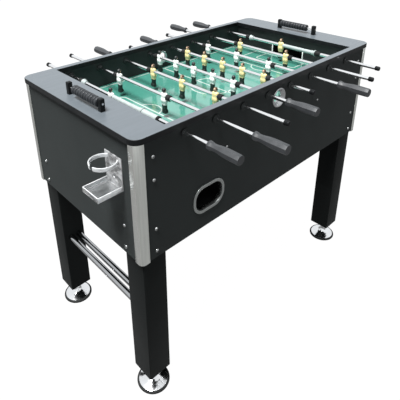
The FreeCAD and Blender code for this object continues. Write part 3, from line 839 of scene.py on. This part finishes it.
def bumper(low, high, x, z, name, body):
    """Grooved rubber sleeve, loose on the rod."""
    radius = (high.x - low.x) / 2
    length = high.y - low.y
    outline = [(BUMPER_BORE, 0.0), (radius - 1.0 * MM, 0.0), (radius, 1.0 * MM)]
    grooves = max(1, round(length / BUMPER_GROOVE_PITCH) - 1)
    for i in range(grooves):
        at = length * (i + 1) / (grooves + 1)
        outline += [(radius, at - 1.0 * MM), (radius - BUMPER_GROOVE_DEPTH, at), (radius, at + 1.0 * MM)]
    outline += [(radius, length - 1.0 * MM), (radius - 1.0 * MM, length), (BUMPER_BORE, length)]
    profile = [(r, low.y + h) for r, h in outline]
    sleeve = Soup().add(*turned(profile, "Y", (x, 0, z), 32, closed=True))
    return sleeve.make(name, [BLACK_RUBBER], body, "rubber_black", 40.0)


def stop_or_sleeve(low, high, x, z, name, body):
    """Keeper rod fittings: a flared stop, wide towards the nearer wall, or a plain sleeve."""
    radius = (high.x - low.x) / 2
    length = high.y - low.y
    bore = ROD_RADIUS
    out = 1 if middle((low, high)).y > rod_middle_y(body) else -1
    if length < STOP_MAX_LENGTH and radius > STOP_MIN_RADIUS:
        outline = [(bore, 0), (8.2 * MM, 0), (8.6 * MM, 0.4 * MM), (8.7 * MM, 0.42 * length),
                   (9.6 * MM, 0.58 * length), (11.4 * MM, 0.78 * length), (radius, 0.86 * length),
                   (radius, length - 0.8 * MM), (radius - 0.8 * MM, length), (bore, length)]
    else:
        outline = [(bore, 0), (radius - 0.5 * MM, 0), (radius, 0.5 * MM), (radius, length - 0.5 * MM),
                   (radius - 0.5 * MM, length), (bore, length)]
    profile = along_rod(rounded(outline, 0.8 * MM, 2), low, high, out)
    fitting = Soup().add(*turned(profile, "Y", (x, 0, z), 32, closed=True))
    return fitting.make(name, [STOP_WHITE], body, "white_plastic", 40.0)


def rod_middle_y(body):
    """Where the middle figure of a rod stands."""
    node = body.replace("_spin", "") + "_players"
    tall = [b for b in solids(node) if b[1].z - b[0].z > LARGE_FITTING]
    return middle(tall[len(tall) // 2]).y


# The figure's shapes are in millimetres from the rod's axis. Each ring of the body has its height, back,
# front and half width, then how square it is and how deep the groove between the legs is.
FIGURE_RINGS = [
    (-57.5, -5.6, 6.2, 8.4, 4.0, 0.0), (-57.0, -6.4, 7.2, 9.2, 4.0, 0.0),
    (-54.6, -6.5, 9.4, 9.4, 4.0, 0.0), (-50.0, -6.5, 9.5, 9.4, 4.0, 0.0),
    (-47.5, -6.3, 9.0, 9.2, 3.6, 0.1), (-45.0, -5.8, 7.2, 9.0, 3.2, 0.5),
    (-41.0, -5.3, 5.9, 8.8, 3.0, 0.8), (-34.0, -5.9, 6.0, 9.2, 3.0, 0.8),
    (-28.0, -6.5, 6.5, 9.7, 3.0, 0.8), (-22.0, -6.9, 7.0, 10.2, 3.0, 0.7),
    (-19.6, -7.3, 7.5, 10.7, 3.0, 0.3), (-19.0, -7.9, 8.0, 11.6, 3.0, 0.2),
    (-13.0, -8.3, 8.4, 12.2, 3.0, 0.0), (-6.5, -8.2, 8.4, 11.9, 2.8, 0.0),
    (-5.8, -7.6, 7.9, 11.2, 2.8, 0.0), (-1.0, -7.9, 8.1, 11.3, 2.7, 0.0),
    (4.0, -8.0, 8.3, 11.9, 2.6, 0.0), (8.0, -7.3, 7.6, 12.6, 2.4, 0.0),
    (10.6, -5.9, 6.2, 11.6, 2.2, 0.0), (12.4, -4.4, 4.6, 7.4, 2.0, 0.0),
    (13.6, -3.6, 3.8, 4.4, 2.0, 0.0), (16.0, -3.4, 3.6, 4.0, 2.0, 0.0),
]
FIGURE_SEGMENTS = 28
BOOT_TOP = -26.0
LEG_GROOVE_DEPTH = 0.34
LEG_GROOVE_WIDTH = 2.0
SHIRT_GROUP, BOOT_GROUP, HAIR_GROUP, SKIN_GROUP = range(4)
ARM_ROWS = 4
ARM_SEGMENTS = 12
# balls and arms end in small caps: the angle left at a pole and the least radius of a ring
POLE_ANGLE = 0.03
POLE_RADIUS = 0.05


def figure_body(facing):
    """Boots, legs, shorts, shirt and neck as one shell."""
    rings = []
    for height, back, front, half, power, groove in FIGURE_RINGS:
        ring = []
        cx = (front + back) / 2
        rx = (front - back) / 2
        for i in range(FIGURE_SEGMENTS):
            angle = 2 * math.pi * i / FIGURE_SEGMENTS
            c = math.cos(angle)
            s = math.sin(angle)
            px = math.copysign(abs(c) ** (2 / power), c)
            py = math.copysign(abs(s) ** (2 / power), s)
            notch = 1 - LEG_GROOVE_DEPTH * groove * math.exp(-(py * half / LEG_GROOVE_WIDTH) ** 2)
            ring.append((facing * (cx + px * rx * notch) * MM, facing * py * half * MM, height * MM))
        rings.append(ring)
    vertices, faces = tube(rings)
    groups = []
    for face in faces:
        height = sum(vertices[i][2] for i in face) / len(face) / MM
        groups.append(BOOT_GROUP if height < BOOT_TOP else SHIRT_GROUP)
    return vertices, faces, groups


def ball_shape(center, radii, facing, rows, segments, start=0.0):
    """An ellipsoid from a polar angle, measured from below, up to its top."""
    rings = []
    for i in range(rows + 1):
        polar = start + (math.pi - start) * i / rows
        polar = min(max(polar, POLE_ANGLE), math.pi - POLE_ANGLE)
        ring = []
        for j in range(segments):
            angle = 2 * math.pi * j / segments
            x = center[0] + radii[0] * math.sin(polar) * math.cos(angle)
            y = center[1] + radii[1] * math.sin(polar) * math.sin(angle)
            z = center[2] - radii[2] * math.cos(polar)
            ring.append((facing * x * MM, facing * y * MM, z * MM))
        rings.append(ring)
    return tube(rings)


def capsule(start, end, radius, facing):
    """An arm: a rounded rod between two points."""
    a = Vector(start)
    b = Vector(end)
    along = (b - a).normalized()
    side = along.cross(Vector((0, 1, 0))).normalized()
    other = along.cross(side)
    stations = []
    for i in range(ARM_ROWS + 1):
        t = math.pi / 2 * i / ARM_ROWS
        stations.append((a - along * (radius * math.cos(t)), radius * math.sin(t)))
    for i in range(ARM_ROWS + 1):
        t = math.pi / 2 * i / ARM_ROWS
        stations.append((b + along * (radius * math.sin(t)), radius * math.cos(t)))
    rings = []
    for point, r in stations:
        r = max(r, POLE_RADIUS)
        ring = []
        for j in range(ARM_SEGMENTS):
            angle = 2 * math.pi * j / ARM_SEGMENTS
            p = point + side * (r * math.cos(angle)) + other * (r * math.sin(angle))
            ring.append((facing * p.x * MM, facing * p.y * MM, p.z * MM))
        rings.append(ring)
    return tube(rings)


def figure_mesh(name, shirt, hair, facing):
    """Generic moulded figure with its rod axis at the origin, looking along X times facing."""
    soup = Soup()
    head = ball_shape((0.4, 0, 20.4), (6.3, 5.9, 7.2), facing, 14, 22)
    hair_top = ball_shape((-0.5, 0, 21.2), (6.7, 6.5, 6.8), facing, 9, 22, math.radians(82))
    hair_back = ball_shape((-2.4, 0, 19.8), (5.0, 6.2, 6.2), facing, 10, 20)
    nose = ball_shape((6.7, 0, 19.8), (1.2, 0.9, 1.6), facing, 6, 10)
    soup.add(*figure_body(facing))
    soup.add(*head, SKIN_GROUP)
    soup.add(*hair_top, HAIR_GROUP)
    soup.add(*hair_back, HAIR_GROUP)
    soup.add(*nose, SKIN_GROUP)
    for side in (-1, 1):
        eye = ball_shape((6.1, side * 2.2, 21.2), (0.45, 0.7, 0.5), facing, 5, 8)
        ear = ball_shape((0.6, side * 5.9, 19.8), (1.3, 0.7, 1.7), facing, 6, 10)
        arm = capsule((0.2, side * 10.6, 6.6), (1.6, side * 10.9, -8.6), 2.0, facing)
        hand = ball_shape((2.0, side * 10.8, -11.4), (2.2, 1.9, 2.4), facing, 6, 12)
        soup.add(*eye, HAIR_GROUP)
        soup.add(*ear, SKIN_GROUP)
        soup.add(*arm, SHIRT_GROUP)
        soup.add(*hand, SKIN_GROUP)
    return soup.mesh(name, (shirt, BOOT, hair, SKIN), 50.0)


FIGURES = {
    1: figure_mesh("figure_light", SHIRT_WHITE, HAIR_DARK, 1),
    -1: figure_mesh("figure_yellow", SHIRT_YELLOW, HAIR_BROWN, -1),
}


def rod_axis(number):
    """X and Z of a rod's axis."""
    center = middle(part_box("rod_%d" % number))
    return center.x, center.z


def rod_players(number):
    node = "rod_%d_players" % number
    body = "rod_%d_spin" % number
    x, z = rod_axis(number)
    for index, (low, high) in enumerate(solids(node)):
        if high.z - low.z > LARGE_FITTING:
            facing = 1 if high.x - x > x - low.x else -1
            obj = bpy.data.objects.new("rod_%d_figure_%d" % (number, index + 1), FIGURES[facing])
            bpy.context.scene.collection.objects.link(obj)
            obj.location = (x, (low.y + high.y) / 2, z)
            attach(obj, body)
        else:
            name = "rod_%d_stop_%d" % (number, index + 1)
            obj = stop_or_sleeve(low, high, x, z, name, body)
    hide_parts(node)


def rod_grips(number):
    node = "rod_%d_grips" % number
    body = "rod_%d_spin" % number
    x, z = rod_axis(number)
    for low, high in solids(node):
        hand = 1 if middle((low, high)).y > 0 else -1
        if high.y - low.y > LARGE_FITTING:
            obj = handle(low, high, x, z, hand, "rod_%d_handle" % number, body)
            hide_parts(node)
        else:
            end_cap(low, high, x, z, hand, "rod_%d_end_cap" % number, body)


def rod_bumpers(number):
    node = "rod_%d_bumpers" % number
    body = "rod_%d_slide" % number
    x, z = rod_axis(number)
    for index, (low, high) in enumerate(solids(node)):
        name = "rod_%d_bumper_%d" % (number, index + 1)
        obj = bumper(low, high, x, z, name, body)
        if index == 0:
            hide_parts(node)


# ---------------------------------------------------------------- studio and camera

def studio_floor():
    corners = [(x * FLOOR_REACH, y * FLOOR_REACH, 0) for x, y in ((-1, -1), (1, -1), (1, 1), (-1, 1))]
    mesh = bpy.data.meshes.new("floor")
    mesh.from_pydata(corners, [], [(0, 1, 2, 3)])
    mesh.materials.append(floor_white())
    obj = bpy.data.objects.new("floor", mesh)
    bpy.context.scene.collection.objects.link(obj)


def studio_light():
    world = bpy.data.worlds.new("studio")
    bpy.context.scene.world = world
    world.use_nodes = True
    tree = world.node_tree
    background = tree.nodes["Background"]
    background.inputs["Color"].default_value = WORLD_TINT
    studio_white(tree, background.inputs["Strength"], WORLD_MIRRORED, WORLD_DIFFUSE)
    sun = bpy.data.lights.new("key", "SUN")
    sun.energy = SUN_ENERGY
    sun.angle = math.radians(SUN_ANGLE)
    obj = bpy.data.objects.new("key", sun)
    obj.rotation_euler = Vector(SUN_FROM).to_track_quat("Z", "Y").to_euler()
    bpy.context.scene.collection.objects.link(obj)


def camera():
    yaw = math.radians(CAMERA_YAW)
    pitch = math.radians(CAMERA_PITCH)
    roll = math.radians(CAMERA_ROLL)
    forward = Vector((-math.sin(yaw) * math.cos(pitch), math.cos(yaw) * math.cos(pitch), math.sin(pitch)))
    level = Vector((math.cos(yaw), math.sin(yaw), 0))
    upright = level.cross(forward)
    right = level * math.cos(roll) + upright * math.sin(roll)
    up = upright * math.cos(roll) - level * math.sin(roll)
    data = bpy.data.cameras.new("camera")
    data.lens = CAMERA_LENS
    data.sensor_width = CAMERA_SENSOR
    data.shift_x, data.shift_y = CAMERA_SHIFT
    obj = bpy.data.objects.new("camera", data)
    turn = Matrix((right, up, -forward)).transposed().to_4x4()
    obj.matrix_world = Matrix.Translation(CAMERA_AT) @ turn
    bpy.context.scene.collection.objects.link(obj)
    bpy.context.scene.camera = obj


camera()
studio_floor()
studio_light()
bpy.context.scene.view_settings.view_transform = "Standard"

dress_cabinet()
ease_edges()
cup_holders()
field_lines()
fasteners()
entry_cups()
for corner in ("front_left", "front_right", "rear_left", "rear_right"):
    levelling_foot("leveller_" + corner)
for side in ("left", "right"):
    counter_beads(side)
for number in RODS:
    rod_players(number)
    rod_grips(number)
    rod_bumpers(number)
